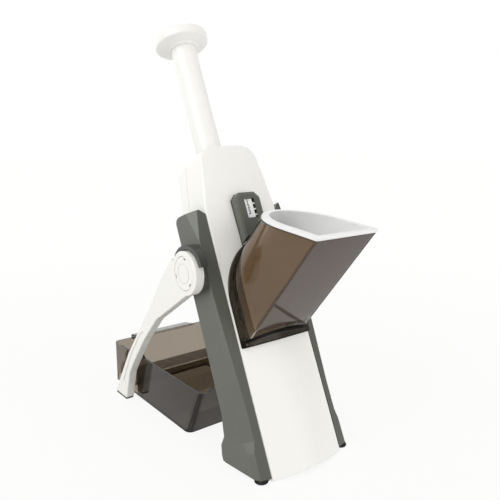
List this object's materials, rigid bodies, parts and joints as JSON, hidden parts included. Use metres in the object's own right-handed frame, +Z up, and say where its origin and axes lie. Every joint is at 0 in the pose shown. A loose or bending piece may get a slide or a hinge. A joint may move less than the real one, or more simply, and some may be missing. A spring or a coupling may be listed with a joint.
{
  "type": "mandoline slicer",
  "caption": "Press-handled mandoline slicer: a leaning housing with a slanted chute and pusher, side rails, folding rear legs and a catch container.",
  "frame": {"origin": "middle of the bounding box, on the table", "axes": "+Z up, +X to the right seen from the front, -Y to the front, where the chute opens"},
  "size_m": [0.1304, 0.2872, 0.3722],
  "materials": {
    "white_gloss": "smooth moulded, soft gloss",
    "white_matte": "moulded, matt",
    "grey_green": "fine satin",
    "smoke_clear": "clear, polished, smoke tint",
    "black_rubber": "matt",
    "steel": "ground"
  },
  "bodies": {
    "frame": {"blade_bed": "white_matte", "discharge_ramp": "white_matte", "front_shell": "white_gloss", "guide_rods": "steel", "housing_screws": "steel", "left_hub_pin": "steel", "left_rail": "grey_green", "left_rail_pad": "black_rubber", "left_spring": "steel", "rail_screws": "steel", "rear_shell": "white_gloss", "right_hub_pin": "steel", "right_rail": "grey_green", "right_rail_pad": "black_rubber", "right_spring": "steel", "scale_plaque": "grey_green", "shaft_bush": "white_matte"},
    "press": {"press_shaft": "white_gloss", "press_knob": "white_gloss", "blade_carriage": "white_matte", "slicing_blade": "steel", "blade_screws": "steel"},
    "left_leg": {"left_leg": "white_gloss", "left_leg_pad": "black_rubber", "left_hub_cap": "white_gloss"},
    "right_leg": {"right_leg": "white_gloss", "right_leg_pad": "black_rubber", "right_hub_cap": "white_gloss"},
    "chute": {"chute": "smoke_clear"},
    "pusher": {"pusher": "white_gloss", "pusher_pins": "steel"},
    "container": {"container": "smoke_clear"},
    "dial": {"thickness_dial": "grey_green"},
    "stop": {"thickness_plate": "white_matte"},
    "scale": {"scale_slider": "white_matte"},
    "selector": {"selector_knob": "grey_green", "comb_carrier": "white_matte", "julienne_blades": "steel"}
  },
  "joints": [
    {"name": "handle_slide", "type": "slide", "parent": "frame", "child": "press", "axis": [0, -0.4067, -0.9135], "range_m": [0, 0.088], "stiffness_N_per_m": 200, "springref_m": -0.03, "deforming": ["left_spring", "right_spring"]},
    {"name": "left_leg_hinge", "type": "hinge", "parent": "frame", "child": "left_leg", "pos_m": [-0.06, -0.02172, 0.15752], "axis": [1, 0, 0], "range_deg": [-63, 0]},
    {"name": "right_leg_hinge", "type": "hinge", "parent": "frame", "child": "right_leg", "pos_m": [0.06, -0.02172, 0.15752], "axis": [1, 0, 0], "range_deg": [-63, 0]},
    {"name": "chute_lift", "type": "slide", "parent": "frame", "child": "chute", "axis": [0, -0.6266, 0.7793], "range_m": [0, 0.06]},
    {"name": "pusher_slide", "type": "slide", "parent": "chute", "child": "pusher", "axis": [0, -0.6266, 0.7793], "range_m": [0, 0.11]},
    {"name": "container_slide", "type": "slide", "parent": "frame", "child": "container", "axis": [0, 1, 0], "range_m": [0, 0.15]},
    {"name": "dial_turn", "type": "hinge", "parent": "frame", "child": "dial", "pos_m": [-0.008, -0.01111, 0.09676], "axis": [0, -0.9135, 0.4067], "range_deg": [0, 270]},
    {"name": "stop_slide", "type": "slide", "parent": "frame", "child": "stop", "axis": [0, 0.9135, -0.4067], "range_m": [0, 0.0045]},
    {"name": "scale_slide", "type": "slide", "parent": "frame", "child": "scale", "axis": [0, -0.4067, -0.9135], "range_m": [0, 0.009]},
    {"name": "selector_slide", "type": "slide", "parent": "frame", "child": "selector", "axis": [0, -0.9135, 0.4067], "range_m": [0, 0.005]}
  ],
  "couplings": [
    {"joint": "stop_slide", "follows": "dial_turn", "m_per_rad": 0.00095},
    {"joint": "scale_slide", "follows": "dial_turn", "m_per_rad": 0.0019}
  ]
}
